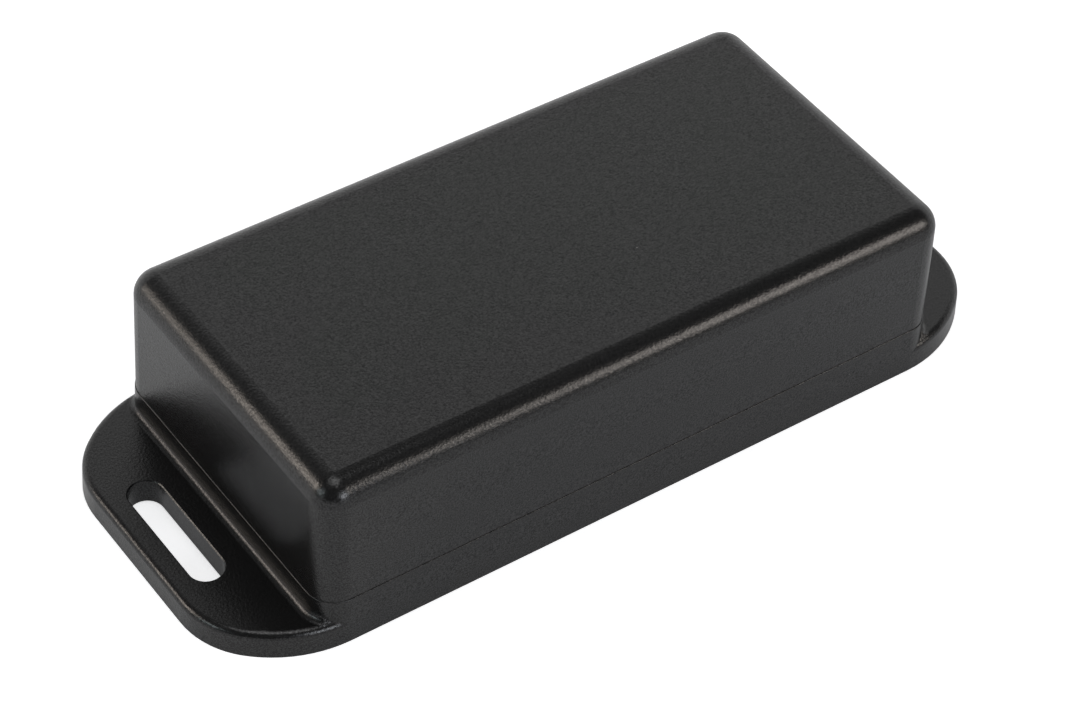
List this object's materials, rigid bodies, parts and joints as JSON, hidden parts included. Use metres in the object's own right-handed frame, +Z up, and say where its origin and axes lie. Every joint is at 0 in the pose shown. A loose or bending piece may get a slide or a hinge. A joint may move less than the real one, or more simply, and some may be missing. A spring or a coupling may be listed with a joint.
{
  "type": "flanged plastic project box",
  "caption": "Closed plastic project box: a deep cover with rounded edges screwed from below to a shallow base with a slotted mounting flange at each end.",
  "frame": {"origin": "middle of the underside, which lies on z = 0", "axes": "+X along the box towards one flange, +Y across it towards the rear long side, +Z up from the underside to the cover's top"},
  "size_m": [0.1254, 0.0506, 0.0275],
  "materials": {
    "box_plastic": "satin black with a fine spark-eroded texture",
    "screw_steel": "zinc-plated steel"
  },
  "bodies": {
    "root": {"cover": "box_plastic", "base": "box_plastic", "screw_front_left": "screw_steel", "screw_front_right": "screw_steel", "screw_rear_left": "screw_steel", "screw_rear_right": "screw_steel"}
  },
  "joints": []
}
